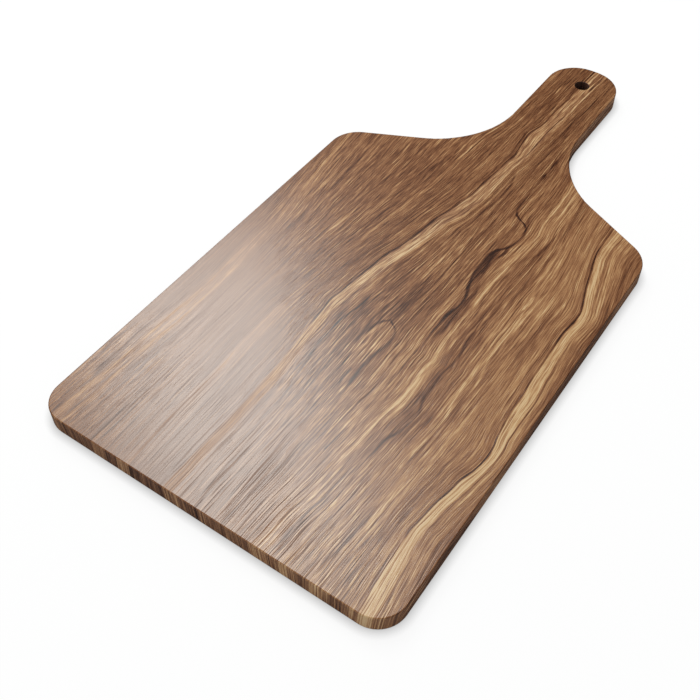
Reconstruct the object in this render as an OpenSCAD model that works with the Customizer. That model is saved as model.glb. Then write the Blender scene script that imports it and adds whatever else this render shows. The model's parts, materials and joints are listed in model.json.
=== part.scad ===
// Paddle serving board, edge-glued from four staves, one of which carries the handle.
// +Y points to the handle and +Z up, and the origin lies under the middle of the whole board.

/* [Body] */
// Width across the sides
body_width = 254; // [220:1:300]
// Length from the front edge to the tip of the handle
overall_length = 509; // [470:1:580]
// Thickness of the wood
thickness = 13; // [10:0.5:20]
// Length from the front edge to where the lines of side and shoulder cross
side_length = 326; // [260:1:350]
// Radius of the two front corners
front_corner_r = 19; // [8:0.5:35]

/* [Shoulders] */
// Slope of the shoulders, in degrees from straight across
shoulder_angle = 25.7; // [15:0.1:32]
// Radius of the corner between side and shoulder
shoulder_corner_r = 24; // [8:0.5:40]
// Radius of the sweep from shoulder to handle
neck_r = 77; // [40:1:95]

/* [Handle] */
// Width of the handle
handle_width = 57; // [44:0.5:68]
// Radius of the two corners at the tip of the handle
handle_corner_r = 26; // [10:0.5:28]
// Diameter of the hanging hole
hole_d = 11.4; // [6:0.2:20]
// Distance from the tip of the handle to the centre of the hole
hole_setback = 24.5; // [16:0.5:40]
// Chamfer around both rims of the hole
hole_chamfer = 0.4; // [0.2:0.1:1]

/* [Edges] */
// Radius that rounds the top and bottom edges all the way round
edge_r = 0.8; // [0.3:0.1:3]

/* [Staves] */
// How far the stave with the handle reaches past the handle's left side
handle_stave_margin = 5.5; // [5.5:0.5:20]
// Width of the stave with the handle, from seam to seam
handle_stave_width = 102; // [80:1:125]
// Width of the stave to the left of it, from seam to seam
left_inner_stave_width = 47; // [30:1:65]
// Thickness of each glue line
glue_thickness = 0.15; // [0.05:0.05:0.3]

/* [Hidden] */
$fn = 96;

// How far a cut runs past the surface that it cuts
overrun = 1.5;
// How far an arc stands off the lines that it joins, so that it crosses them and doesn't only graze them
arc_lift = 0.005;

wood_colour = "#8c6a4a";
glue_colour = "#5a3d26";

// Places on the right half of the outline. The left half is its mirror image
side_x = body_width / 2;
handle_x = handle_width / 2;
front_y = -overall_length / 2;
tip_y = overall_length / 2;
shoulder_y = front_y + side_length;
neck_y = shoulder_y + (side_x - handle_x) * tan(shoulder_angle);
hole_y = tip_y - hole_setback;

// Every arc is tangent to the two lines beside it
shoulder_sweep = 90 - shoulder_angle;
shoulder_normal = [sin(shoulder_angle), cos(shoulder_angle)];
tangent_share = (1 - sin(shoulder_angle)) / cos(shoulder_angle);
tip_r = min(handle_corner_r, handle_x);
front_centre = [side_x - front_corner_r, front_y + front_corner_r];
shoulder_centre = [side_x - shoulder_corner_r, shoulder_y - shoulder_corner_r * tangent_share];
neck_centre = [handle_x + neck_r, neck_y + neck_r * tangent_share];
tip_centre = [handle_x - tip_r, tip_y - tip_r];
shoulder_start = shoulder_centre + shoulder_corner_r * shoulder_normal;
shoulder_end = neck_centre - neck_r * shoulder_normal;
handle_start = [handle_x, neck_centre.y];
neck_overrun_angle = atan(overrun / neck_r);

// The middle of each glue line. The outer staves take what is left of the width
left_inner_seam_x = -handle_x - handle_stave_margin;
left_outer_seam_x = left_inner_seam_x - left_inner_stave_width;
right_seam_x = left_inner_seam_x + handle_stave_width;
glue_half = glue_thickness / 2;

// Waste outside a convex corner, in a sector about the corner's centre
module corner_waste(r, sweep) {
    reach = r + overrun;
    difference() {
        polygon([
            [0, 0],
            [reach, 0],
            [reach, reach * tan(sweep / 2)],
            reach * [cos(sweep), sin(sweep)]
        ]);
        circle(r + arc_lift);
    }
}

module outline() {
    right = [
        [side_x, front_y],
        [side_x, shoulder_y],
        shoulder_end,
        handle_start,
        [handle_x, tip_y]
    ];
    left = [for (i = [len(right) - 1 : -1 : 0]) [-right[i].x, right[i].y]];
    difference() {
        polygon(concat(right, left));
        for (side = [0, 1]) mirror([side, 0]) {
            translate(front_centre) rotate(-90) corner_waste(front_corner_r, 90);
            translate(shoulder_centre) corner_waste(shoulder_corner_r, shoulder_sweep);
            translate(neck_centre) circle(neck_r + arc_lift);
            translate(tip_centre) corner_waste(tip_r, 90);
        }
    }
}

// Waste over a rounded edge: x runs into the wood from the side, y up from the face
module edge_profile() {
    inset = edge_r - arc_lift;
    difference() {
        translate([-overrun, -inset]) square(inset + overrun);
        translate([inset, -inset]) circle(edge_r);
    }
}

// Edge waste along a straight line with the wood on its left
module edge_line(start, end, start_overrun = overrun, end_overrun = overrun) {
    heading = atan2(end.y - start.y, end.x - start.x);
    translate(start) rotate(heading) translate([-start_overrun, 0]) rotate([90, 0, 90])
        linear_extrude(norm(end - start) + start_overrun + end_overrun) edge_profile();
}

// Edge waste round a corner that turns outwards
module edge_corner(centre, r, start, sweep) {
    translate(centre) rotate(start) rotate_extrude(angle = sweep)
        translate([r + arc_lift, 0]) mirror([1, 0]) edge_profile();
}

// Edge waste round the sweep of the neck, which turns inwards
module edge_neck() {
    translate(neck_centre) rotate(180 - neck_overrun_angle)
        rotate_extrude(angle = shoulder_sweep + 2 * neck_overrun_angle)
        translate([neck_r + arc_lift, 0]) edge_profile();
}

// Waste all the way round one face, with the face at z = 0
module edge_waste() {
    edge_line([-front_centre.x, front_y], [front_centre.x, front_y]);
    edge_line([tip_centre.x, tip_y], [-tip_centre.x, tip_y]);
    for (side = [0, 1]) mirror([side, 0, 0]) {
        edge_corner(front_centre, front_corner_r, -90, 90);
        edge_line([side_x, front_centre.y], [side_x, shoulder_centre.y]);
        edge_corner(shoulder_centre, shoulder_corner_r, 0, shoulder_sweep);
        edge_line(shoulder_start, shoulder_end, end_overrun = 0);
        edge_neck();
        edge_line(handle_start, [handle_x, tip_centre.y], start_overrun = 0);
        edge_corner(tip_centre, tip_r, 0, 90);
    }
}

// Waste of the hanging hole, chamfered at the face at z = 0 and running down from it
module hole_waste() {
    chamfer_reach = hole_chamfer + overrun;
    translate([0, hole_y, -thickness - overrun]) cylinder(h = thickness + 2 * overrun, d = hole_d);
    translate([0, hole_y, -hole_chamfer])
        cylinder(h = chamfer_reach, d1 = hole_d, d2 = hole_d + 2 * chamfer_reach);
}

// The finished board before it is split along its seams
module board() {
    difference() {
        linear_extrude(thickness) outline();
        translate([0, 0, thickness]) {
            edge_waste();
            hole_waste();
        }
        mirror([0, 0, 1]) {
            edge_waste();
            hole_waste();
        }
    }
}

// The part of the board between two lines along its length
module strip(from_x, to_x) {
    intersection() {
        board();
        translate([from_x, front_y - overrun, -overrun])
            cube([to_x - from_x, overall_length + 2 * overrun, thickness + 2 * overrun]);
    }
}

module glue_line(seam_x) {
    color(glue_colour) strip(seam_x - glue_half, seam_x + glue_half);
}

module handle_stave() {
    color(wood_colour) strip(left_inner_seam_x + glue_half, right_seam_x - glue_half);
}

module left_inner_stave() {
    color(wood_colour) strip(left_outer_seam_x + glue_half, left_inner_seam_x - glue_half);
}

module left_outer_stave() {
    color(wood_colour) strip(-side_x - overrun, left_outer_seam_x - glue_half);
}

module right_stave() {
    color(wood_colour) strip(right_seam_x + glue_half, side_x + overrun);
}

module left_inner_glue_line() {
    glue_line(left_inner_seam_x);
}

module left_outer_glue_line() {
    glue_line(left_outer_seam_x);
}

module right_glue_line() {
    glue_line(right_seam_x);
}

handle_stave();
left_inner_stave();
left_outer_stave();
right_stave();
left_inner_glue_line();
left_outer_glue_line();
right_glue_line();
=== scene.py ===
"""Looks of a paddle serving board: oiled walnut staves, their glue lines and a plain white studio."""
import json
import math

import bpy
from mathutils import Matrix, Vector


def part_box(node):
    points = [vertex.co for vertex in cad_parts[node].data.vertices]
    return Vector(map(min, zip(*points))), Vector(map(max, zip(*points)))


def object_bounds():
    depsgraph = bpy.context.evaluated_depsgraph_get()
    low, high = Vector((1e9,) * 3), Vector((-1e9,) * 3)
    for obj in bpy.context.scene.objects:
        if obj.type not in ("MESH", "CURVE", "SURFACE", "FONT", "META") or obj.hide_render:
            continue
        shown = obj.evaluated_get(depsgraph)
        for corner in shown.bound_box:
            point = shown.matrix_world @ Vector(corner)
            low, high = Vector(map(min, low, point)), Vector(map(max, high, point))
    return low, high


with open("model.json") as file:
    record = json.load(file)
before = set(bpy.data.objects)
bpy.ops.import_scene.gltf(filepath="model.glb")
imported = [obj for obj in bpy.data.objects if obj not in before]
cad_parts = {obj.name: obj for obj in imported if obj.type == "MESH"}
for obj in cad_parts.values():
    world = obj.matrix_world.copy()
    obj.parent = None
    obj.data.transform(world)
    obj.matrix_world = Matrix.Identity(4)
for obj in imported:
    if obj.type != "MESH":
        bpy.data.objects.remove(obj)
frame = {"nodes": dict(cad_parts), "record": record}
cad_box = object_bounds()

MM_PER_M = 1000.0

# The board's own measures, in millimetres: the y of its front edge, its length and its thickness.
FRONT_Y = cad_box[0].y * MM_PER_M
LENGTH = (cad_box[1].y - cad_box[0].y) * MM_PER_M
THICKNESS = (cad_box[1].z - cad_box[0].z) * MM_PER_M

# The glue lines from left to right, the middle of each, and the hanging hole, in the frame's millimetres.
GLUE_LINES = ("left_outer_glue_line", "left_inner_glue_line", "right_glue_line")
SEAMS = [(low.x + high.x) / 2 * MM_PER_M for low, high in map(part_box, GLUE_LINES)]
HOLE = next(mount for mount in frame["record"]["mounts"] if mount["name"] == "hanging_hole")
HOLE_Y = HOLE["pos_m"][1] * MM_PER_M
HOLE_RADIUS = HOLE["dims"]["r_mm"]

# Half of the width that the traced lines of the figure may lie in, in millimetres, and the greatest
# strength that a line or the streaks may have.
TRACE_REACH = 150.0
FULL_STRENGTH = 1.5

# Lines of the figure on the top face: the width of each, its change of tone (up is paler), and the points
# that it passes: (distance from the front edge, distance right of the middle, strength). Millimetres.
# A line without a change of tone only guides the grain.
VEINS = {
    # Pale and dark lines of the left half.
    "far_left": (2.8, 0.23, (
        (0, -105, 0.7), (20, -103.6, 0.75), (50, -103, 0.75), (80, -102.4, 0.8), (100, -101, 0.8),
        (120, -100.5, 0.8), (150, -101, 0.7), (170, -102.5, 0.7), (190, -104.3, 0.6), (210, -105.7, 0.6),
        (230, -108, 0.8), (250, -111.5, 0.9), (270, -114, 0.9), (290, -117, 0.9), (310, -119, 1.0),
        (324, -120.5, 1.0), (345, -123, 0.7), (509, -128, 0.0))),
    "far_left_twin": (3.0, 0.19, (
        (0, -111, 0.8), (20, -111, 0.8), (40, -110, 0.8), (60, -109, 0.9), (100, -108.5, 0.9),
        (130, -107, 0.8), (160, -107.8, 0.7), (190, -109, 0.6), (215, -110.5, 0.4), (230, -113.5, 0.6),
        (260, -119, 0.6), (290, -121.5, 0.4), (302, -122.5, 0.0))),
    "far_left_glow": (6.5, 0.07, (
        (0, -107.5, 0.9), (60, -106, 1.1), (120, -104, 1.1), (180, -105.5, 0.7), (215, -108, 0.0))),
    "far_left_shade": (3.2, -0.11, (
        (0, -115.5, 1.0), (60, -114.8, 0.9), (120, -113.5, 0.7), (170, -114, 0.0))),
    "left_glow": (6.5, 0.08, (
        (0, -51, 0.7), (60, -51.5, 0.9), (120, -53, 1.1), (180, -50, 0.7), (215, -48, 0.0))),
    "left_upper": (1.4, 0.20, (
        (180, -76, 0.0), (195, -75.5, 0.3), (210, -77.4, 0.5), (220, -77.3, 0.9), (232, -76.5, 0.4),
        (245, -74.5, 0.4), (255, -74.3, 0.7), (268, -73.6, 0.7), (282, -73, 0.5), (295, -72.6, 0.3),
        (310, -73, 0.6), (322, -73.3, 0.8), (332, -74.3, 0.8), (350, -76.5, 1.0), (375, -79, 0.8))),
    "left_upper_twin": (1.4, 0.20, (
        (222, -70, 0.0), (233, -69.5, 0.9), (245, -68.6, 0.8), (260, -67.4, 0.7), (275, -66.5, 0.6),
        (288, -66, 0.4), (300, -65, 0.2), (312, -65, 0.7), (322, -65.6, 0.7), (331, -66.3, 0.5),
        (340, -68.7, 0.8), (350, -69.5, 0.8), (375, -71, 0.6))),
    "left_short": (1.2, 0.16, (
        (282, -56.8, 0.0), (290, -56.6, 0.8), (299, -56.5, 0.8), (307, -56.2, 0.0), (322, -56, 0.0),
        (335, -56.5, 0.6), (350, -57, 0.8), (375, -58, 0.5))),
    "left": (1.7, 0.25, (
        (0, -52, 0.5), (20, -53, 0.5), (60, -53.5, 0.6), (80, -53.5, 0.6), (100, -55, 0.6),
        (120, -55.6, 0.7), (145, -55.6, 0.6), (165, -54, 0.5), (185, -52, 0.5), (205, -51, 0.6),
        (217, -49.8, 0.7), (230, -47.6, 0.8), (242, -46, 0.8), (252, -44.3, 0.9), (260, -43, 0.7),
        (268, -41.8, 1.1), (280, -40, 0.8), (292, -38.5, 0.7), (302, -37.3, 1.0), (315, -36.3, 0.8),
        (330, -35.5, 0.9), (350, -35, 1.0), (368, -34.4, 0.8), (382, -33.3, 0.8), (393, -30.3, 0.6),
        (405, -28, 0.5), (420, -27.3, 0.6), (450, -26, 0.5), (475, -25, 0.6), (509, -24, 0.3))),
    "left_twin": (1.6, 0.18, (
        (60, -49, 0.0), (80, -48.8, 0.4), (100, -48.5, 0.6), (120, -50, 0.6), (140, -50, 0.6),
        (160, -49, 0.6), (180, -47.6, 0.6), (200, -47, 0.6), (212, -45, 0.3), (222, -43.8, 0.7),
        (232, -42.2, 0.6), (242, -39.8, 0.7), (252, -38, 0.9), (262, -36, 0.8), (272, -35, 0.9),
        (284, -34.3, 0.9), (292, -34, 0.2), (302, -34, 0.0))),
    "left_twin_shade": (1.0, -0.18, (
        (260, -33, 0.0), (272, -33.2, 0.8), (286, -32.8, 0.8), (294, -32.6, 0.0))),
    "left_shade": (1.0, -0.22, (
        (312, -18, 0.0), (319, -18.1, 0.8), (331, -18.6, 0.9), (337, -18.8, 0.0))),
    # The tan band up the middle, with the dark line on its left.
    "tan_outer": (1.3, 0.16, (
        (248, -20.8, 0.0), (256, -19.9, 0.8), (266, -19, 0.7), (276, -18.4, 0.8), (285, -18, 0.0))),
    "tan_left": (1.4, -0.44, (
        (0, -26, 0.0), (60, -25.6, 0.0), (100, -26.5, 0.0), (125, -27.2, 0.1), (140, -28.6, 0.4),
        (150, -29.4, 0.5), (160, -30, 0.8), (166, -30.8, 0.8), (173, -31.5, 0.9), (180, -30.4, 1.0),
        (190, -29.1, 1.1), (200, -27.8, 1.0), (210, -26.3, 1.0), (220, -25, 1.0), (230, -23.4, 1.1),
        (240, -20.6, 0.9), (250, -18.9, 0.9), (262, -16.8, 0.9), (272, -15.4, 0.8), (281, -14.4, 0.8),
        (290, -12, 1.0), (300, -10, 1.0), (305, -9.2, 1.1), (310, -8, 0.8), (316, -7, 0.6),
        (324, -6.3, 0.6), (331, -6, 1.0), (338, -5.5, 1.0), (346, -4.8, 0.6), (358, -4, 0.6),
        (368, -3.1, 0.8), (374, -2.6, 1.1), (380, -3, 0.7), (388, -4.2, 0.8), (396, -5.3, 1.2),
        (403, -6, 0.8), (410, -4.8, 0.7), (418, -2.7, 0.8), (430, -2, 0.8), (445, -1.6, 0.6),
        (465, -1, 0.6), (480, -0.8, 0.8), (509, 0, 0.8))),
    "tan_right": (1.7, 0.12, (
        (0, -19, 0.5), (20, -19, 0.5), (60, -18, 0.5), (100, -18.5, 0.5), (120, -20.6, 0.5),
        (150, -21.4, 0.6), (165, -22, 0.6), (180, -21, 0.5), (190, -20, 0.6), (200, -18.7, 0.7),
        (210, -17.5, 0.8), (220, -16, 0.9), (230, -14, 0.9), (240, -11.8, 0.9), (250, -10, 0.9),
        (260, -8.5, 1.0), (270, -6.7, 1.0), (279, -5.5, 1.1), (285, -3, 1.0), (291, -0.8, 0.8),
        (300, 1, 0.9), (310, 2.6, 0.9), (325, 3.8, 1.0), (345, 4.2, 1.1), (360, 4.6, 1.2),
        (370, 6.5, 1.1), (385, 7.4, 1.0), (400, 7.2, 0.9), (415, 7.4, 0.9), (430, 7.9, 1.0),
        (450, 9, 0.8), (470, 9.7, 0.8), (490, 10.6, 0.9), (509, 11.6, 0.9))),
    "tan_split": (1.1, -0.36, (
        (330, 1.5, 0.0), (345, 2.2, 0.5), (358, 2.4, 0.5), (370, 4, 0.6), (385, 5.2, 0.8), (400, 5, 0.8),
        (415, 5.2, 0.9), (430, 5.8, 0.8), (445, 6.8, 0.7), (460, 7.4, 0.6), (475, 7.8, 0.8),
        (490, 8.3, 0.9), (509, 9, 0.9))),
    "tan_shade": (1.8, -0.28, (
        (272, 7.5, 0.0), (286, 8.3, 0.3), (300, 9.2, 0.6), (310, 10, 0.7), (318, 11, 0.9),
        (328, 12, 0.9), (340, 11.7, 1.1), (348, 10, 1.0), (355, 8.4, 0.6), (363, 7.4, 0.0))),
    "beside_tan": (1.4, 0.18, (
        (298, -8.4, 0.0), (309, -9, 0.8), (322, -9.4, 0.9), (335, -9, 0.8), (348, -8.5, 0.8),
        (360, -9.5, 0.4), (376, -9, 0.0))),
    # The handle.
    "handle_pale": (1.4, 0.26, (
        (404, -13.2, 0.0), (411, -12.5, 0.9), (420, -12.2, 1.1), (432, -12, 0.7), (442, -12, 0.5),
        (452, -11.5, 0.2), (461, -12.3, 0.6), (468, -12.8, 1.0), (476, -12.8, 0.4), (485, -12.5, 0.0))),
    "handle_shade_left": (1.0, -0.32, (
        (398, -13.4, 0.0), (408, -13.9, 0.9), (425, -13.6, 0.7), (440, -13.6, 0.9), (452, -13, 0.4),
        (470, -14.2, 0.5), (482, -14, 0.0))),
    "handle_shade_right": (1.1, -0.42, (
        (358, 13, 0.0), (375, 14.5, 0.4), (400, 15, 0.5), (420, 15.3, 0.7), (436, 16, 0.8),
        (450, 17.4, 0.9), (463, 18.2, 0.9), (476, 18, 0.6), (490, 17.5, 0.0))),
    # The flame in the middle and the lines that go down from it.
    "flame_approach": (1.4, -0.50, (
        (95, -15, 0.0), (112, -14.7, 0.6), (125, -14.5, 0.7), (140, -15.3, 0.8), (150, -15.7, 0.9),
        (162, -15.2, 0.9), (170, -13.8, 0.7), (177, -12, 0.9), (186, -11.3, 1.1), (192, -11.2, 0.0))),
    "flame_left": (2.0, -0.30, (
        (60, 9, 0.0), (90, 8.5, 0.1), (120, 7.5, 0.3), (137, 6.5, 0.5), (145, 5.2, 0.5), (152, 4.6, 0.6),
        (160, 4.5, 0.8), (166, 5, 0.9), (171, 6, 0.9), (174.5, 7.5, 1.1), (177, 9.3, 1.2),
        (178.5, 10.8, 1.0), (181, 11.5, 0.0))),
    "flame_right": (2.3, -0.42, (
        (90, 20.4, 0.0), (105, 19.8, 0.6), (120, 19.2, 0.9), (130, 18.9, 1.1), (138, 18.4, 1.1),
        (145, 18.5, 1.1), (151, 19.4, 1.0), (157, 20.7, 0.9), (164, 21.2, 0.8), (170, 20.5, 0.7),
        (174, 18.8, 0.7), (176.5, 15.8, 0.8), (178.5, 12.2, 0.9), (181, 11.5, 0.0))),
    "flame_tail": (1.3, -0.38, (
        (58, 12.6, 0.0), (75, 12.3, 0.5), (90, 13.2, 0.6), (100, 14.4, 0.6), (110, 15, 0.4),
        (117, 14.4, 0.8), (123, 13.2, 1.1), (129, 13.5, 1.1), (135, 13.8, 0.0))),
    "heart": (7.5, -0.20, (
        (0, 12, 0.0), (60, 12, 0.0), (178, 11, 0.0), (184, 11.3, 0.8), (198, 12.3, 1.0),
        (214, 13.6, 1.1), (228, 14.4, 0.7), (244, 14.6, 0.0), (300, 14.5, 0.0), (345, 15, 0.0),
        (400, 18, 0.0), (509, 20, 0.0))),
    "arch_left": (1.6, 0.13, (
        (230, 9, 0.0), (240, 9.8, 0.5), (249, 11, 0.8), (257, 12.3, 0.9), (265, 14, 1.0), (271, 15, 0.0))),
    "arch_right": (2.0, 0.15, (
        (215, 21.8, 0.0), (228, 21.6, 0.6), (240, 21, 0.8), (250, 19.5, 0.9), (258, 17.6, 1.0),
        (265, 15.6, 1.0), (271, 15, 0.0))),
    "arch_shade": (1.4, -0.16, (
        (224, -5.4, 0.0), (232, -4.8, 0.5), (244, -3.5, 0.8), (253, -2.3, 1.0), (260, -1, 0.7),
        (266, 0, 0.0))),
    # The winding dark line right of the middle, and the lens beside it.
    "squiggle": (1.9, -0.50, (
        (92, 38.4, 0.0), (118, 39, 0.6), (150, 39.2, 0.8), (174, 39.5, 0.8), (185, 39.2, 0.8),
        (196, 39.2, 0.9), (205, 39.5, 1.1), (212, 41, 1.1), (222, 41.6, 1.2), (230, 39.4, 1.2),
        (238, 36.8, 1.1), (246, 34.8, 0.8), (255, 34.2, 0.7), (264, 34.4, 0.8), (271, 35.3, 1.2),
        (276, 37.5, 1.4), (280, 40.5, 1.4), (286, 43, 1.1), (292, 44.4, 1.0), (300, 44.9, 0.9),
        (305, 43.7, 0.8), (309, 40.5, 1.3), (312, 35, 1.4), (315, 31, 1.2), (320, 28.8, 0.8),
        (330, 28, 0.6), (345, 27.7, 0.4), (356, 27.4, 0.2), (364, 27.5, 1.0), (370, 27.3, 0.2),
        (381, 27.4, 1.0), (389, 27.2, 0.1), (400, 27, 0.0))),
    "squiggle_fork": (1.7, -0.45, (
        (262, 41, 0.0), (269, 41.5, 0.6), (276, 42.6, 1.1), (282, 42.2, 0.8), (287, 42.8, 0.0))),
    "squiggle_twig": (1.2, -0.30, ((306, 43.5, 0.0), (309, 43, 0.8), (313, 41.6, 0.8), (317, 41, 0.0))),
    "lens_core": (2.0, -0.20, ( (243, 39.8, 0.0), (251, 39.4, 0.9), (259, 39, 1.0), (266, 38.6, 0.0))),
    "dash": (1.2, -0.50, (
        (70, 34.8, 0.0), (75, 35.2, 1.0), (82, 36, 1.0), (90, 36.8, 1.0), (97, 37.2, 0.0))),
    # Pale and dark lines of the right half.
    "pale_inner": (1.5, 0.26, (
        (0, 41, 0.4), (12, 41.7, 0.5), (25, 42.2, 0.4), (35, 43.5, 0.4), (45, 45, 0.3), (60, 46, 0.3),
        (70, 46.6, 0.4), (80, 47.3, 0.6), (92, 48.2, 0.8), (105, 49, 1.0), (115, 50.2, 0.8),
        (125, 52, 0.8), (140, 52.4, 1.0), (150, 51.6, 0.9), (160, 51.5, 1.0), (166, 52, 1.0),
        (172, 51, 0.8), (182, 50.2, 1.0), (192, 49.7, 1.0), (202, 49.2, 0.9), (215, 49.5, 0.8),
        (230, 49.3, 0.9), (245, 49.2, 1.1), (256, 49.9, 1.0), (268, 50.8, 1.0), (280, 51.7, 1.1),
        (292, 52.6, 1.1), (303, 53, 1.0), (310, 52.2, 0.8), (320, 51.1, 1.0), (335, 51.3, 1.1),
        (350, 51, 1.0), (370, 49, 0.7), (400, 41, 0.4), (509, 36, 0.0))),
    "pale_middle": (1.8, 0.18, (
        (95, 55.5, 0.0), (105, 55, 0.6), (120, 54.5, 0.7), (135, 57, 0.4), (150, 56, 0.6),
        (165, 55.5, 0.6), (178, 54.8, 0.8), (190, 54.6, 0.9), (205, 54.7, 0.8), (218, 56, 0.6),
        (232, 57.3, 0.8), (246, 57.8, 0.7), (262, 57.3, 0.6), (278, 57, 0.6), (300, 57.2, 0.6),
        (318, 56, 0.7), (335, 56.5, 0.9), (350, 56.8, 1.0), (370, 55, 0.6), (395, 50, 0.0))),
    "dark_outer": (1.9, -0.32, (
        (0, 50.5, 0.2), (20, 51, 0.3), (40, 53, 0.3), (55, 54.5, 0.3), (65, 56, 0.3), (72, 57.7, 0.6),
        (77, 58.6, 0.6), (84, 59.4, 0.4), (90, 59.7, 0.8), (96, 59.8, 0.7), (101, 61.3, 0.8),
        (106, 63.3, 1.1), (112, 64.6, 0.9), (118, 65.4, 1.0), (125, 66, 1.1), (130, 65, 1.1),
        (136, 63, 1.1), (142, 62.2, 1.0), (150, 62.2, 0.9), (158, 62, 0.8), (165, 62.8, 0.9),
        (172, 63.6, 1.0), (180, 63.4, 1.0), (186, 62.3, 1.0), (193, 61.4, 1.1), (201, 61.5, 0.9),
        (207, 60.8, 0.7), (215, 60.1, 0.8), (224, 60, 0.8), (235, 60.4, 0.5), (246, 60.7, 0.6),
        (258, 61.2, 0.8), (270, 61.9, 1.0), (282, 62.2, 1.2), (295, 63, 1.2), (303, 63.7, 1.0),
        (312, 64, 0.7), (322, 64, 0.6), (332, 65.5, 0.6), (345, 64.8, 0.9), (360, 63, 0.6),
        (400, 58, 0.0))),
    "dark_outer_twin": (1.3, -0.24, (
        (194, 63.8, 0.0), (208, 63, 0.7), (220, 63.6, 0.9), (235, 63.4, 0.9), (245, 63.6, 0.6),
        (253, 64, 0.0))),
    "dark_outer_patch": (3.2, -0.16, (
        (298, 68.6, 0.0), (309, 69.4, 0.7), (324, 68.4, 0.9), (334, 68, 0.7), (344, 68, 0.0))),
    "pale_tick": (1.4, 0.36, (
        (231, 77.5, 0.0), (236, 78, 0.8), (244, 78.3, 1.2), (250, 78.6, 1.0), (255, 78.7, 0.0))),
    "pale_outer": (1.9, 0.27, (
        (79, 77.2, 0.0), (87, 77.6, 0.7), (95, 78, 0.9), (103, 78.6, 1.0), (110, 79.6, 0.9),
        (118, 81, 0.8), (127, 81.7, 0.9), (133, 81.3, 1.0), (139, 80, 1.1), (146, 79, 1.1),
        (154, 78.2, 1.1), (163, 77.8, 0.9), (172, 77.9, 0.7), (182, 78.3, 0.4), (191, 78.5, 0.0))),
    "pale_outer_twin": (2.3, 0.22, (
        (79, 82, 0.0), (90, 83.5, 0.4), (98, 85, 0.6), (110, 86.2, 0.8), (122, 87, 0.9),
        (135, 86.7, 0.8), (147, 86, 0.6), (157, 84.7, 0.7), (166, 83.6, 0.8), (174, 82.7, 0.7),
        (182, 81, 0.9), (192, 80.2, 1.0), (202, 80.4, 1.0), (212, 80.9, 1.0), (222, 81.5, 1.1),
        (232, 82.3, 1.0), (242, 82.7, 0.9), (250, 83, 0.7), (259, 83.3, 0.0))),
    "straight_right": (1.5, 0.0, (
        (0, 86, 0.0), (120, 90, 0.0), (250, 91, 0.0), (345, 80, 0.0), (509, 76, 0.0))),
    "pale_right": (1.4, 0.22, (
        (194, 97.6, 0.0), (205, 97.6, 0.5), (215, 97.5, 0.6), (222, 97.3, 1.0), (230, 98, 1.0),
        (238, 97.7, 0.9), (246, 97.9, 1.0), (254, 98.2, 1.0), (259, 98.2, 0.3), (268, 96.2, 0.5),
        (285, 92, 0.4), (300, 88.5, 0.4), (315, 87, 0.4), (331, 86.5, 0.0))),
    "pale_right_low": (1.4, 0.16, (
        (76, 96, 0.0), (88, 96.8, 0.5), (96, 97.7, 0.7), (104, 100, 0.8), (112, 101.2, 0.6),
        (122, 101, 0.5), (135, 100.5, 0.5), (150, 99.8, 0.5), (165, 99.5, 0.4), (181, 100, 0.0))),
    "sap_left": (1.3, -0.50, (
        (0, 107.4, 0.4), (10, 106.8, 0.4), (20, 106.0, 0.5), (30, 105.4, 0.5), (40, 104.8, 0.6),
        (50, 104.4, 0.7), (56, 104.2, 0.9), (62, 104.8, 0.9), (71, 106, 0.9), (80, 107.1, 1.0),
        (90, 109.1, 1.1), (100, 110.7, 1.2), (110, 113.7, 1.1), (118, 115.2, 1.1), (124, 115.5, 1.1),
        (130, 115, 1.1), (136, 113.6, 1.0), (142, 112.6, 1.0), (150, 111.8, 0.9), (160, 111, 0.9),
        (172, 110.6, 0.9), (185, 109.9, 0.9), (200, 109.6, 0.9), (212, 109.2, 0.9), (222, 108.8, 0.9),
        (231, 108.7, 1.1), (240, 109.5, 1.3), (247, 110.4, 1.4), (254, 110.1, 1.2), (262, 108.2, 1.0),
        (271, 105.4, 0.9), (280, 102.6, 0.9), (290, 100, 0.9), (297, 98, 1.2), (303, 96.4, 1.2),
        (311, 94.7, 0.9), (320, 94.1, 0.8), (340, 94, 0.8), (400, 92, 0.5), (509, 88, 0.5))),
    "sap_right": (1.3, -0.18, (
        (0, 118, 0.2), (10, 117.3, 0.2), (20, 116.2, 0.3), (30, 115, 0.4), (40, 113.6, 0.4),
        (50, 112.5, 0.5), (60, 112, 0.5), (66, 113, 0.6), (80, 114.5, 0.7), (90, 116.5, 0.7),
        (100, 118.4, 0.6), (110, 120, 0.6), (120, 121.2, 0.7), (130, 121.4, 0.7), (140, 120, 0.7),
        (150, 119.8, 0.7), (170, 120.2, 0.7), (180, 119.5, 0.7), (190, 118.1, 0.8), (200, 118, 0.9),
        (210, 117.1, 0.9), (220, 116.5, 0.9), (230, 116, 0.9), (240, 117, 0.8), (250, 117.8, 0.8),
        (256, 117.3, 0.8), (263, 115.5, 0.9), (270, 113.5, 0.9), (280, 110.6, 1.0), (290, 108, 1.0),
        (300, 105.5, 1.0), (310, 103, 1.0), (320, 102.1, 0.9), (335, 103, 0.9), (400, 100, 0.5),
        (509, 96, 0.5))),
    "sap_echo": (1.3, 0.22, (
        (50, 114, 0.0), (62, 115.2, 0.4), (80, 117.5, 0.6), (95, 120.4, 0.5), (108, 122, 0.6),
        (118, 123.8, 0.7), (130, 123.8, 0.7), (142, 122, 0.6), (155, 121.6, 0.6), (170, 122, 0.6),
        (182, 122, 0.7), (195, 121.6, 0.8), (208, 120.6, 0.8), (222, 119.3, 0.7), (235, 118.8, 0.8),
        (245, 119.4, 0.9), (255, 119.6, 0.9), (265, 118, 0.9), (275, 115.6, 0.9), (285, 112.8, 0.9),
        (295, 110.3, 0.9), (305, 107.6, 0.9), (315, 105.4, 0.9), (325, 104.8, 0.9), (335, 105, 0.9),
        (350, 104.5, 0.7))),
    "sap_shade": (1.3, -0.20, (
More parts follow.
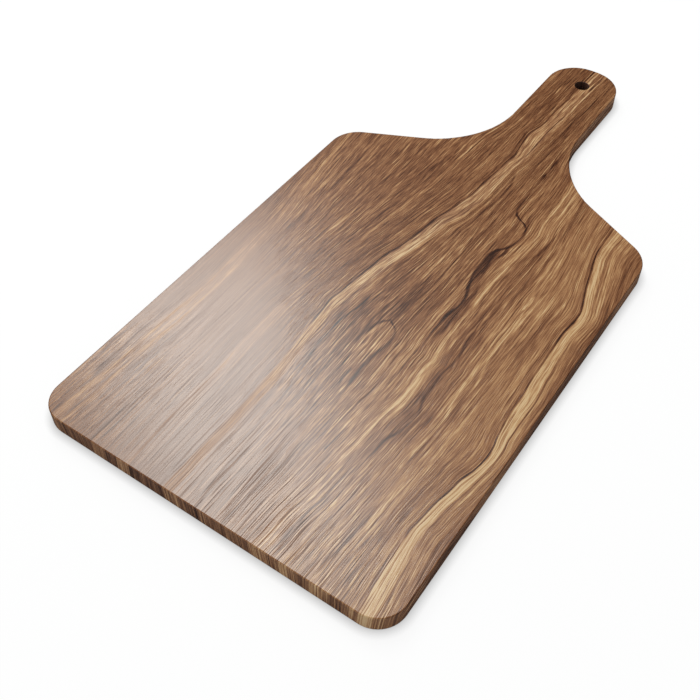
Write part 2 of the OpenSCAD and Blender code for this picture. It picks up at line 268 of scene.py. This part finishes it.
        (268, 125, 0.0), (279, 124.2, 1.0), (288, 122, 0.6), (300, 119.8, 0.7), (313, 119, 0.0))),
}

# The lines that the grain bends with, from left to right, and the place of each on a straightened board.
BENDS = {"far_left": -105, "left": -50, "tan_left": -20, "tan_right": -12, "heart": 12, "pale_inner": 51,
         "straight_right": 88, "sap_left": 107, "sap_right": 114}

# Broad bands between two distances from a line: the line, where the band starts and ends right of it, the
# softness of its edges, the change of tone, and its strength at distances from the front edge. Millimetres.
BANDS = (
    ("squiggle", 0.2, 6.8, 1.8, -0.30, (
        (180, 0.0), (189, 0.5), (205, 0.6), (222, 0.4), (232, 0.6), (240, 0.9), (255, 1.0), (266, 1.0),
        (272, 0.8), (278, 0.3), (284, 0.0))),
    ("pale_inner", -2.0, 7.0, 2.0, 0.10, (
        (0, 0.7), (30, 0.6), (60, 0.4), (85, 0.4), (110, 0.6), (160, 0.6), (200, 0.5), (250, 0.7),
        (345, 0.7), (400, 0.2))),
    ("dark_outer", 0.4, 5.0, 3.0, -0.10, (
        (84, 0.0), (100, 0.8), (112, 1.0), (130, 0.6), (140, 1.0), (156, 1.0), (170, 0.6), (190, 1.0),
        (202, 0.3), (216, 0.0), (270, 0.0), (285, 0.5), (300, 0.7), (330, 1.0), (350, 0.7), (372, 0.0))),
    ("sap_right", 1.5, 14.0, 2.0, 0.13, ((0, 1.0), (100, 1.0), (150, 0.5), (190, 0.0))),
    ("tan_right", 3.0, 22.0, 6.0, 0.03, ((0, 1.0), (90, 1.0), (125, 0.0))),
)

# Areas between two lines: each line with where the soft edge starts and ends right of it, how much of the
# area shows on its dark and on its pale stripes, and its strength at distances from the front edge.
# Millimetres.
AREAS = {
    "tan": ("tan_left", (-0.4, 1.6), "tan_right", (-1.2, 1.0), (0.60, 1.10), (
        (0, 0.7), (90, 0.8), (170, 0.9), (230, 1.0), (310, 1.0), (420, 0.9), (509, 0.8))),
    "sap": ("sap_left", (0.1, 1.3), "sap_right", (-1.5, 0.7), (0.60, 1.05), ((0, 1.0), (509, 1.0))),
    "flame": ("flame_left", (0.0, 2.0), "flame_right", (-2.0, 0.0), (1.0, 1.0), (
        (110, 0.0), (130, 0.3), (150, 0.8), (165, 1.0), (177, 1.0), (179, 0.0))),
}

# Tone of the wood from darkest to palest, and the colour that it has there (sRGB).
WOOD_TONES = (
    (0.00, (54, 28, 18)), (0.15, (84, 47, 28)), (0.30, (107, 65, 39)), (0.45, (129, 83, 52)),
    (0.60, (153, 105, 69)), (0.75, (179, 131, 88)), (0.90, (204, 162, 113)), (1.00, (218, 184, 138)))
# Tone of the plain wood across the straightened board, in millimetres right of its middle.
PLAIN_TONES = ((-127, 0.51), (-85, 0.49), (-60, 0.48), (-35, 0.46), (-10, 0.49), (15, 0.53), (40, 0.58),
               (63, 0.62), (80, 0.65), (100, 0.66), (110, 0.63), (118, 0.57), (127, 0.51))
# The handle is darker: how much of that shows at distances from the front edge.
HANDLE_SHADE = ((0, 0.0), (340, 0.0), (400, 1.0), (509, 1.0))

# Kinds of streaks on the straightened board: width and length in millimetres, seed and detail.
STREAKS = {
    "broad": (10.0, 220.0, 1.3, 2.0),
    "mottle": (16.0, 90.0, 16.2, 1.0),
    "medium": (3.0, 90.0, 5.1, 2.0),
    "fine_long": (1.1, 75.0, 9.4, 2.0),
    "fine_short": (0.8, 22.0, 27.3, 2.0),
    "hair_long": (0.45, 42.0, 33.7, 2.0),
    "hair_short": (0.35, 10.0, 12.8, 2.0),
    "groove_wide": (1.0, 80.0, 41.2, 1.0),
    "groove_thin": (0.7, 45.0, 46.8, 1.0),
    "pore": (0.34, 18.0, 31.0, 1.0),
    "patches": (20.0, 70.0, 24.9, 2.0),
    "breaks": (2.5, 12.0, 20.5, 2.0),
}
BROAD_STREAKS = ("broad", "mottle", "medium")
FINE_STREAKS = ("fine_long", "fine_short")
HAIR_STREAKS = ("hair_long", "hair_short")
SHORT_STREAKS = ("fine_short", "hair_short")
GROOVES = ("groove_wide", "groove_thin")

# What each thing adds, at full strength, to the tone of the wood, to its relief and to its roughness.
TONE_CHANGES = {
    "broad": 0.50, "mottle": 0.24, "medium": 0.38, "fine_long": 0.66, "fine_short": 0.72, "hair_long": 1.0,
    "hair_short": 1.25, "groove": -0.17, "pore": -0.10, "end_pore": -0.16, "end_face": 0.02,
    # The side face and side edge changes are painted shade: they darken the long sides and their rounded
    # edges.
    "side_face_shade": -0.06, "end_edge": 0.06, "side_edge_shade": -0.20, "tan": 0.24, "sap": 0.31, "flame": 0.15,
    "handle": -0.045}
HEIGHTS = {
    "fine_long": 0.30, "fine_short": 0.30, "hair_long": 0.12, "hair_short": 0.16, "groove": -0.10,
    "pore": -0.20, "end_pore": -0.20}
DULLING = {
    "pale": 0.10, "dark": 0.09, "streak": -0.06, "groove": 0.45, "pore": 0.05, "tan": 0.09, "bored": 0.30,
    "upright": 0.38}

# How lively the streaks are across the board: close to the front edge, in the calm part under the sheen, and
# in the rest. On the end faces they are at least as lively as the last value.
NEAR_LIVELINESS = ((-127, 0.85), (-60, 0.55), (-40, 0.42), (0, 0.50), (40, 0.70), (80, 0.95), (127, 1.0))
CALM_LIVELINESS = ((-127, 0.34), (-70, 0.26), (-40, 0.30), (0, 0.90), (40, 1.05), (80, 1.2), (127, 1.15))
FULL_LIVELINESS = ((-127, 0.78), (-50, 0.92), (0, 1.04), (40, 0.90), (70, 0.74), (127, 0.72))
END_LIVELINESS = 0.9
# How much the broad streaks show across the board, the share of that in the calm part, and the least on the
# end faces.
BANDING = ((-127, 0.44), (-50, 0.48), (0, 0.88), (40, 0.95), (127, 0.90))
CALM_BANDING = 0.45
END_BANDING = 2.0
# How much the grooves show across the board, and the least close to the front edge.
GROOVING = ((-127, 0.12), (-40, 0.14), (20, 0.60), (60, 1.0), (108, 1.0), (118, 0.6), (127, 0.5))
NEAR_GROOVING = 0.20
# Share of the streaks and grooves that the sapwood lacks close to the front edge.
NEAR_SAP_CALM = 0.35

# Soft steps along the board, in millimetres from the front edge: out of the part close to that edge and, on a
# slant, out of the calm part and out of the part where the gloss varies with the grain. The slant is how far
# those two move to the front for each millimetre to the right.
NEAR_STEP = (55.0, 120.0)
CALM_STEP = (85.0, 145.0)
UNEVEN_STEP = (25.0, 105.0)
CALM_SLANT = 0.8
# Soft steps by liveliness, and the share of the short streaks, the pores and the relief at either end.
SHORT_STEP = (0.28, 0.90, 0.50, 1.0)
PORE_SHARE_STEP = (0.28, 0.90, 0.15, 1.0)
RELIEF_STEP = (0.15, 0.80, 0.45, 1.0)
# Soft steps of the noise that makes patches, breaks in the lines, stripes in the areas, grooves and pores.
PATCH_STEP = (-0.14, 0.14, 0.60, 1.25)
BREAK_STEP = (-0.22, 0.18, 0.65, 1.15)
STRIPE_STEP = (-0.30, 0.25)
GROOVE_STEP = (-0.17, -0.07, 1.0, 0.0)
PORE_STEP = (-0.22, -0.14, 1.0, 0.0)
END_PORE_STEP = (0.36, 0.46, 1.0, 0.0)
# Soft steps by how squarely a face looks sideways, endways or upwards.
LONG_SIDE_STEP = (0.90, 1.0)
SIDE_FACE_STEP = (0.5, 0.95)
END_FACE_STEP = (0.55, 0.9)
UPRIGHT_STEP = (0.25, 0.75, 1.0, 0.0)
EDGE_START_STEP = (0.15, 0.5)
EDGE_STOP_STEP = (0.75, 0.97)
# A rounded edge changes from side to end by how much more it looks endways than sideways.
EDGE_TURN_STEP = (-0.3, 0.3)
# Soft steps by how much paler the figure is than the plain wood.
PALE_STEP = (0.06, 0.34)
DARK_STEP = (-0.22, 0.0)

# Waves that the lines waver by: width, length and reach of each in millimetres. Then their seed.
WAVES = ((11.0, 26.0, 1.0), (2.4, 9.0, 0.20))
WAVE_SEED = 3.7
# Share of a line's width that goes with its strength.
VEIN_WIDENING = 0.7
# Share of the fine streaks in the stripes of the areas, beside the medium ones.
STRIPE_FINENESS = 0.75
# How far the relief lies beside the tone: streaks by a share of their width, grooves by millimetres.
STREAK_SHIFT = 0.5
GROOVE_SHIFT = 0.15
# Fineness of the pores on the end faces, for each millimetre.
END_PORES_PER_MM = 2.6

# How far the growth rings of each stave lean, from left to right, and how much more they lean at the long
# sides, in millimetres to the left for each millimetre of depth. Then how far the figure moves to the front.
RING_LEANS = (-0.06, 0.05, -0.04, 0.05)
SIDE_LEAN = 0.40
GRAIN_DIVE = 0.4

# Painted shade in the drilled wall of the hole: how far outside the hole's radius it starts to fade and is
# gone, in millimetres, and the share of the tone that it takes away.
BORE_STEP = (0.1, 0.5)
BORE_SHADE = 0.75

# Gloss of the oiled wood, and the metres of relief for a height of 1.
WOOD_SPECULAR = 0.74
WOOD_ROUGHNESS = 0.285
BUMP_M = 0.00012

# Dried glue: patches for each metre across, along and up, their detail and colours (sRGB), and the roughness
# with how much the patches add to it.
GLUE_PATCHES = (400.0, 60.0, 400.0)
GLUE_DETAIL = 3.0
GLUE_TONES = ((0.30, (70, 45, 31)), (0.70, (106, 72, 49)))
GLUE_ROUGHNESS = 0.35
GLUE_UNEVENNESS = 0.2

# The camera, as the photograph was taken: degrees, metres, and millimetres of lens and sensor.
CAMERA_AZIMUTH = 34.5711
CAMERA_ELEVATION = 49.7243
CAMERA_DISTANCE = 0.6328
CAMERA_TARGET = Vector((-0.0018, -0.1019, 0.0))
CAMERA_LENS = 50.234
CAMERA_SENSOR = 36.0

# The softbox behind on the left, whose sheen lies on the front half of the board.
KEY_PLACE = Vector((-0.595, 0.336, 1.080))
KEY_TARGET = Vector((-0.020, -0.1345, 0.013))
KEY_SIZE = (0.43, 0.76)
KEY_POWER = 9.2
KEY_COLOUR = (0.955, 1.0, 0.98)

# The even light from all round.
DOME_LEVEL = 0.56

# The floor: how much light it sends back up to dull and to glossy surfaces, how the camera sees it, and the
# depth and reach in metres of the contact shadow painted into its glow where the board meets it. Then its
# half width and how far it lies under the board, in metres.
FLOOR_BOUNCE = 0.75
FLOOR_GLOSS = 0.12
FLOOR_WHITE = 0.12
FLOOR_LIFT = 0.885
CONTACT_SHADOW_DEPTH = 0.76
CONTACT_SHADOW_REACH = 0.0062
FLOOR_HALF_WIDTH = 4.0
FLOOR_DROP = 0.0002

WHITE = (1.0, 1.0, 1.0, 1.0)


def linear(rgb):
    """The linear colour that a shader takes for an sRGB colour of 0 to 255."""
    parts = [v / 255 for v in rgb]
    return (*(v / 12.92 if v <= 0.04045 else ((v + 0.055) / 1.055) ** 2.4 for v in parts), 1.0)


class Graph:
    """Writes a node tree by calls: each call adds a node and gives back its output."""

    def __init__(self, tree):
        self.tree = tree
        tree.nodes.clear()

    def feed(self, socket, value):
        if isinstance(value, bpy.types.NodeSocket):
            self.tree.links.new(value, socket)
        else:
            socket.default_value = value

    def node(self, kind, inputs=(), **settings):
        made = self.tree.nodes.new(kind)
        for name, value in settings.items():
            setattr(made, name, value)
        for key, value in dict(inputs).items():
            self.feed(made.inputs[key], value)
        return made

    def math(self, operation, *values, clamp=False):
        made = self.node("ShaderNodeMath", enumerate(values), operation=operation, use_clamp=clamp)
        return made.outputs[0]

    def add(self, a, b):
        return self.math("ADD", a, b)

    def sub(self, a, b):
        return self.math("SUBTRACT", a, b)

    def mul(self, a, b):
        return self.math("MULTIPLY", a, b)

    def mul_add(self, a, b, c):
        return self.math("MULTIPLY_ADD", a, b, c)

    def vector(self, x, y, z):
        return self.node("ShaderNodeCombineXYZ", {0: x, 1: y, 2: z}).outputs[0]

    def split(self, vector):
        return self.node("ShaderNodeSeparateXYZ", {0: vector}).outputs

    def smooth(self, value, low, high, start=0.0, end=1.0):
        """A soft step: start below low, end above high."""
        made = self.node("ShaderNodeMapRange", {"Value": value, "From Min": low, "From Max": high,
                                                "To Min": start, "To Max": end},
                         interpolation_type="SMOOTHSTEP")
        return made.outputs[0]

    def noise(self, x, y, z, detail=2.0):
        place = self.vector(x, y, z)
        return self.node("ShaderNodeTexNoise", {"Vector": place, "Scale": 1.0, "Detail": detail}).outputs[0]

    def curve(self, where, points, low=0.0, high=1.0):
        """A smooth curve through points, each a place from 0 to 1 and a value from low to high."""
        made = self.node("ShaderNodeFloatCurve", {"Value": where})
        line = made.mapping.curves[0]
        spread = [(place, (value - low) / (high - low)) for place, value in points]
        if spread[0][0] > 0.0:
            spread.insert(0, (0.0, spread[0][1]))
        if spread[-1][0] < 1.0:
            spread.append((1.0, spread[-1][1]))
        for _ in spread[2:]:
            line.points.new(0.5, 0.5)
        for point, location in zip(line.points, spread):
            point.location = location
            point.handle_type = "AUTO_CLAMPED"
        made.mapping.extend = "HORIZONTAL"
        made.mapping.update()
        if (low, high) == (0.0, 1.0):
            return made.outputs[0]
        return self.mul_add(made.outputs[0], high - low, low)

    def ramp(self, value, stops):
        made = self.node("ShaderNodeValToRGB", {0: value})
        elements = made.color_ramp.elements
        for position, _ in stops[2:]:
            elements.new(position)
        for element, (position, colour) in zip(elements, stops):
            element.position = position
            element.color = linear(colour)
        return made.outputs[0]


class WoodGraph(Graph):
    """A node tree that knows its place on the board, how far the traced lines are, and the grain there."""

    def __init__(self, tree):
        super().__init__(tree)
        coords = self.node("ShaderNodeTexCoord")
        scaled = self.node("ShaderNodeVectorMath", {0: coords.outputs["Object"], 1: (MM_PER_M,) * 3},
                           operation="MULTIPLY").outputs[0]
        self.x, self.y, self.z = self.split(scaled)
        facing = self.split(coords.outputs["Normal"])
        self.sideways, self.endways, self.upwards = (self.math("ABSOLUTE", part) for part in facing)
        self.ends = self.smooth(self.endways, *END_FACE_STEP)

        self.across, self.along = self.place_in_figure()
        self.near = self.smooth(self.along, *NEAR_STEP, 1.0, 0.0)
        self.distance = {}
        for name, (_, _, points) in VEINS.items():
            traced = self.along_board([(at, place) for at, place, _ in points], TRACE_REACH, -TRACE_REACH)
            self.distance[name] = self.sub(self.across, traced)
        self.ribbon = self.straightened()
        self.slanted = self.mul_add(self.ribbon, CALM_SLANT, self.along)
        self.lively = self.liveliness()
        self.short_share = self.smooth(self.lively, *SHORT_STEP)

    def place_in_figure(self):
        """The place across and along the figure. It goes down into the wood aslant, so the sides, ends and
        underside have their own cut of it."""
        depth = self.sub(THICKNESS, self.z)
        lean = RING_LEANS[0]
        for seam, before, after in zip(SEAMS, RING_LEANS, RING_LEANS[1:]):
            lean = self.mul_add(self.math("GREATER_THAN", self.x, seam), after - before, lean)
        lean = self.mul_add(self.smooth(self.sideways, *LONG_SIDE_STEP), SIDE_LEAN, lean)
        across = self.mul_add(depth, lean, self.x)
        along = self.mul_add(depth, GRAIN_DIVE, self.sub(self.y, FRONT_Y))
        for width, length, reach in WAVES:
            wave = self.noise(self.mul(across, 1 / width), self.mul(along, 1 / length), WAVE_SEED)
            across = self.mul_add(self.sub(wave, 0.5), reach, across)
        return across, along

    def straightened(self):
        """The place across a straightened board: the grain is drawn there, so that it follows the lines."""
        gaps = [self.add(self.across, TRACE_REACH), *(self.distance[name] for name in BENDS),
                self.sub(self.across, TRACE_REACH)]
        places = [-TRACE_REACH, *BENDS.values(), TRACE_REACH]
        ribbon = -TRACE_REACH
        for left, right, start, end in zip(gaps, gaps[1:], places, places[1:]):
            part = self.math("DIVIDE", left, self.sub(left, right), clamp=True)
            ribbon = self.mul_add(part, end - start, ribbon)
        return ribbon

    def liveliness(self):
        """How strongly the streaks show, from part to part of the board."""
        near, calm, full = (self.across_board(points, FULL_STRENGTH)
                            for points in (NEAR_LIVELINESS, CALM_LIVELINESS, FULL_LIVELINESS))
        lively = self.smooth(self.along, *NEAR_STEP, near, calm)
        lively = self.smooth(self.slanted, *CALM_STEP, lively, full)
        return self.math("MAXIMUM", lively, self.mul(self.ends, END_LIVELINESS))

    def across_board(self, points, most=1.0):
        """A curve through values at places across the straightened board."""
        where = self.mul_add(self.ribbon, 0.5 / TRACE_REACH, 0.5)
        return self.curve(where, [(0.5 + at * 0.5 / TRACE_REACH, value) for at, value in points], 0.0, most)

    def along_board(self, points, most=1.0, least=0.0):
        """A curve through values at distances from the front edge."""
        where = self.mul(self.along, 1 / LENGTH)
        return self.curve(where, [(at / LENGTH, value) for at, value in points], least, most)

    def grain(self, kind, shift=0.0):
        """One kind of streaks, around 0, shifted across by a share of their width."""
        width, length, seed, detail = STREAKS[kind]
        place = self.mul_add(self.ribbon, 1 / width, -shift)
        return self.sub(self.noise(place, self.mul(self.along, 1 / length), seed, detail), 0.5)

    def streaks(self, kinds, amounts, shift=0.0):
        """Kinds of streaks added up by their amounts. The short ones fade in the calm part."""
        total = 0.0
        for kind in kinds:
            amount = amounts[kind]
            if kind in SHORT_STREAKS:
                amount = self.mul(self.short_share, amount)
            total = self.mul_add(self.grain(kind, shift), amount, total)
        return total

    def grooves(self, aside=0.0):
        """Long thin grooves, where the vessels of the wood are cut open, some millimetres aside."""
        cut = 0.0
        for kind in GROOVES:
            dips = self.grain(kind, aside / STREAKS[kind][0])
            cut = self.math("MAXIMUM", cut, self.smooth(dips, *GROOVE_STEP))
        shown = self.math("MAXIMUM", self.across_board(GROOVING), self.mul(self.near, NEAR_GROOVING))
        return self.mul(cut, shown)


def traced_lines(g, tone):
    """Adds the traced lines, and the broad bands beside some of them, to a tone."""
    breaks = g.smooth(g.grain("breaks"), *BREAK_STEP)
    for name, (width, change, points) in VEINS.items():
        if change:
            power = g.mul(g.along_board([(at, value) for at, _, value in points], FULL_STRENGTH), breaks)
            reach = g.mul_add(power, VEIN_WIDENING * width, (1 - VEIN_WIDENING) * width)
            line = g.mul(g.smooth(g.math("ABSOLUTE", g.distance[name]), 0.0, reach, 1.0, 0.0), power)
            tone = g.mul_add(line, change, tone)
    for name, start, end, soft, change, points in BANDS:
        band = g.mul(g.smooth(g.distance[name], start - soft / 2, start + soft / 2),
                     g.smooth(g.distance[name], end - soft / 2, end + soft / 2, 1.0, 0.0))
        tone = g.mul_add(g.mul(band, g.along_board(points)), change, tone)
    return tone


def figure(g, fine):
    """The tone of the plain wood, the tone of its figure without the fine grain, and masks of the areas."""
    plain = g.across_board(PLAIN_TONES)
    tone = g.mul_add(g.along_board(HANDLE_SHADE), TONE_CHANGES["handle"], plain)
    banded = g.mul(g.across_board(BANDING), g.smooth(g.slanted, *CALM_STEP, CALM_BANDING, 1.0))
    banded = g.math("MAXIMUM", banded, g.mul(g.ends, END_BANDING))
    streaks = {kind: g.grain(kind) for kind in BROAD_STREAKS}
    for kind, streak in streaks.items():
        tone = g.mul_add(g.mul(streak, banded), TONE_CHANGES[kind], tone)
    tone = traced_lines(g, tone)

    areas = {}
    striped = g.mul_add(fine, STRIPE_FINENESS, streaks["medium"])
    for name, (left, left_edge, right, right_edge, stripes, points) in AREAS.items():
        inside = g.mul(g.smooth(g.distance[left], *left_edge),
                       g.smooth(g.distance[right], *right_edge, 1.0, 0.0))
        shown = g.mul(g.along_board(points), g.smooth(striped, *STRIPE_STEP, *stripes))
        areas[name] = g.mul(inside, shown)
        tone = g.mul_add(areas[name], TONE_CHANGES[name], tone)
    return plain, tone, areas


def surface_marks(g):
    """Masks of the grooves, the pores, the faces by where they look, the edges and the drilled wall."""
    pore_share = g.mul(g.sub(1.0, g.ends), g.smooth(g.lively, *PORE_SHARE_STEP))
    speckle = g.noise(*(g.mul(place, END_PORES_PER_MM) for place in (g.x, g.y, g.z)))
    from_axis = g.math("SQRT", g.add(g.mul(g.x, g.x), g.math("POWER", g.sub(g.y, HOLE_Y), 2.0)))
    return {
        "groove": g.grooves(),
        "pore": g.mul(g.smooth(g.grain("pore"), *PORE_STEP), pore_share),
        "end_pore": g.mul(g.smooth(speckle, *END_PORE_STEP), g.ends),
        "end_face": g.ends,
        "side_face_shade": g.smooth(g.sideways, *SIDE_FACE_STEP),
        "upright": g.smooth(g.upwards, *UPRIGHT_STEP),
        "edge": g.mul(g.smooth(g.upwards, *EDGE_START_STEP), g.smooth(g.upwards, *EDGE_STOP_STEP, 1.0, 0.0)),
        "bored": g.smooth(g.sub(from_axis, HOLE_RADIUS), *BORE_STEP, 1.0, 0.0),
    }


def wood_tone(g, tone, fine, hair, marks):
    """The tone of the figure with the fine grain, and with what faces, pores, hole and edges change. Painted
    shade darkens the long sides, their rounded edges and the drilled wall of the hole.
    """
    patchy = g.mul(g.smooth(g.grain("patches"), *PATCH_STEP), g.lively)
    lines = g.mul_add(fine, patchy, g.mul(hair, g.lively))
    lines = g.mul_add(marks["groove"], TONE_CHANGES["groove"], lines)
    tone = g.mul_add(lines, g.mul_add(g.mul(marks["sap"], g.near), -NEAR_SAP_CALM, 1.0), tone)
    # Of these, the side face change is painted shade on the long sides.
    for mark in ("end_face", "side_face_shade", "end_pore"):
        tone = g.mul_add(marks[mark], TONE_CHANGES[mark], tone)
    # Painted shade in the drilled wall of the hole.
    tone = g.mul(tone, g.mul_add(marks["bored"], -BORE_SHADE, 1.0))
    tone = g.mul_add(marks["pore"], TONE_CHANGES["pore"], tone)
    # Rounded edges: painted shade darkens them along the long sides; at the ends they turn paler.
    edge_change = g.smooth(g.sub(g.endways, g.sideways), *EDGE_TURN_STEP,
                           TONE_CHANGES["side_edge_shade"], TONE_CHANGES["end_edge"])
    return g.mul_add(marks["edge"], edge_change, tone)


def wood_relief(g, marks):
    """The surface's direction, with streaks that stand proud, and grooves and pores that lie deeper."""
    height = g.streaks(FINE_STREAKS + HAIR_STREAKS, HEIGHTS, STREAK_SHIFT)
    height = g.mul(height, g.smooth(g.lively, *RELIEF_STEP))
    height = g.mul_add(g.grooves(GROOVE_SHIFT), HEIGHTS["groove"], height)
    for mark in ("pore", "end_pore"):
        height = g.mul_add(marks[mark], HEIGHTS[mark], height)
    return g.node("ShaderNodeBump", {"Strength": 1.0, "Distance": BUMP_M, "Height": height}).outputs[0]


def wood_roughness(g, paler, streak, marks):
    """The roughness. Towards the front, where the gloss varies, wood that is paler or darker than plain wood
    is duller, and grooves are dullest."""
    uneven = g.add(g.smooth(paler, *PALE_STEP, 0.0, DULLING["pale"]),
                   g.smooth(paler, *DARK_STEP, DULLING["dark"], 0.0))
    uneven = g.mul_add(streak, DULLING["streak"], uneven)
    uneven = g.mul_add(marks["groove"], DULLING["groove"], uneven)
    rough = g.mul_add(uneven, g.smooth(g.slanted, *UNEVEN_STEP, 1.0, 0.0), WOOD_ROUGHNESS)
    for mark in ("pore", "tan", "bored", "upright"):
        rough = g.mul_add(marks[mark], DULLING[mark], rough)
    return rough


def walnut():
    """Oiled walnut: a figure that follows the traced lines, streaks, pores, end grain and a soft gloss."""
    material = bpy.data.materials.new("walnut")
    material.use_nodes = True
    g = WoodGraph(material.node_tree)
    fine = g.streaks(FINE_STREAKS, TONE_CHANGES)
    hair = g.streaks(HAIR_STREAKS, TONE_CHANGES)
    plain, figured, areas = figure(g, fine)
    marks = {**surface_marks(g), **areas}
    shader = g.node("ShaderNodeBsdfPrincipled", {
        "Base Color": g.ramp(wood_tone(g, figured, fine, hair, marks), WOOD_TONES),
        "Roughness": wood_roughness(g, g.sub(figured, plain), g.add(fine, hair), marks),
        "Normal": wood_relief(g, marks),
        "Specular IOR Level": WOOD_SPECULAR})
    g.node("ShaderNodeOutputMaterial", {"Surface": shader.outputs[0]})
    return material


def dried_glue():
    """The thin brown line of glue between two staves."""
    material = bpy.data.materials.new("wood_glue")
    material.use_nodes = True
    g = Graph(material.node_tree)
    places = g.split(g.node("ShaderNodeTexCoord").outputs["Object"])
    patches = g.noise(*(g.mul(place, rate) for place, rate in zip(places, GLUE_PATCHES)), GLUE_DETAIL)
    shader = g.node("ShaderNodeBsdfPrincipled", {
        "Base Color": g.ramp(patches, GLUE_TONES),
        "Roughness": g.mul_add(patches, GLUE_UNEVENNESS, GLUE_ROUGHNESS)})
    g.node("ShaderNodeOutputMaterial", {"Surface": shader.outputs[0]})
    return material


def seen_directly(g):
    """1 for rays from the camera, and for those that reach it through glass."""
    rays = g.node("ShaderNodeLightPath").outputs
    return g.math("MAXIMUM", rays["Is Camera Ray"], rays["Is Transmission Ray"])


def floor_paint():
    """A white floor that keeps the shadow, with a contact shadow also painted into its glow. It sends less
    light back up than it shows.
    """
    material = bpy.data.materials.new("studio_floor")
    material.use_nodes = True
    g = Graph(material.node_tree)
    glossy = g.node("ShaderNodeLightPath").outputs["Is Glossy Ray"]
    bounce = g.mul_add(glossy, FLOOR_GLOSS - FLOOR_BOUNCE, FLOOR_BOUNCE)
    plain = g.node("ShaderNodeBsdfDiffuse", {"Color": g.vector(bounce, bounce, bounce)})
    white = g.node("ShaderNodeBsdfDiffuse", {"Color": (FLOOR_WHITE, FLOOR_WHITE, FLOOR_WHITE, 1.0)})
    # Painted shadow: ambient occlusion darkens the glow close to the board.
    open_sky = g.node("ShaderNodeAmbientOcclusion", {"Distance": CONTACT_SHADOW_REACH}).outputs["AO"]
    level = g.mul(g.mul_add(open_sky, CONTACT_SHADOW_DEPTH, 1.0 - CONTACT_SHADOW_DEPTH), FLOOR_LIFT)
    lift = g.node("ShaderNodeEmission", {"Color": WHITE, "Strength": level})
    shown = g.node("ShaderNodeAddShader", {0: white.outputs[0], 1: lift.outputs[0]})
    mixed = g.node("ShaderNodeMixShader", {0: seen_directly(g), 1: plain.outputs[0], 2: shown.outputs[0]})
    g.node("ShaderNodeOutputMaterial", {"Surface": mixed.outputs[0]})
    return material


def studio_world():
    """An even light from all round and a white backdrop. The gloss doesn't mirror it."""
    world = bpy.data.worlds.new("studio")
    world.use_nodes = True
    g = Graph(world.node_tree)
    level = g.mul_add(seen_directly(g), 1.0 - DOME_LEVEL, DOME_LEVEL)
    backdrop = g.node("ShaderNodeBackground", {"Color": WHITE, "Strength": level})
    g.node("ShaderNodeOutputWorld", {"Surface": backdrop.outputs[0]})
    world.cycles_visibility.glossy = False
    bpy.context.scene.world = world


def key_softbox():
    """The one lamp, aimed at the board."""
    lamp = bpy.data.lights.new("key_softbox", "AREA")
    lamp.shape = "RECTANGLE"
    lamp.size, lamp.size_y = KEY_SIZE
    lamp.energy = KEY_POWER
    lamp.color = KEY_COLOUR
    held = bpy.data.objects.new("key_softbox", lamp)
    held.location = KEY_PLACE
    held.rotation_euler = (KEY_TARGET - KEY_PLACE).to_track_quat("-Z", "Y").to_euler()
    bpy.context.scene.collection.objects.link(held)


def studio_floor():
    """A wide floor just under the board, which belongs to the stage."""
    mesh = bpy.data.meshes.new("studio_floor")
    reach = FLOOR_HALF_WIDTH
    level = cad_box[0].z - FLOOR_DROP
    corners = [(-reach, -reach, level), (reach, -reach, level), (reach, reach, level), (-reach, reach, level)]
    mesh.from_pydata(corners, [], [(0, 1, 2, 3)])
    mesh.materials.append(floor_paint())
    floor = bpy.data.objects.new("studio_floor", mesh)
    bpy.context.scene.collection.objects.link(floor)


def photo_camera():
    """The camera, turned about its target from straight in front of the board and up."""
    lens = bpy.data.cameras.new("photo_camera")
    lens.lens = CAMERA_LENS
    lens.sensor_width = CAMERA_SENSOR
    camera = bpy.data.objects.new("photo_camera", lens)
    azimuth, elevation = math.radians(CAMERA_AZIMUTH), math.radians(CAMERA_ELEVATION)
    back = Vector((math.sin(azimuth) * math.cos(elevation), -math.cos(azimuth) * math.cos(elevation),
                   math.sin(elevation)))
    camera.location = CAMERA_TARGET + back * CAMERA_DISTANCE
    camera.rotation_euler = back.to_track_quat("Z", "Y").to_euler()
    bpy.context.scene.collection.objects.link(camera)
    bpy.context.scene.camera = camera


def dress(wood, glue):
    """Gives each solid of the board its material."""
    for name, solid in frame["nodes"].items():
        solid.data.materials.clear()
        solid.data.materials.append(glue if name in GLUE_LINES else wood)


photo_camera()
key_softbox()
studio_world()
studio_floor()
dress(walnut(), dried_glue())
bpy.context.scene.view_settings.view_transform = "Standard"
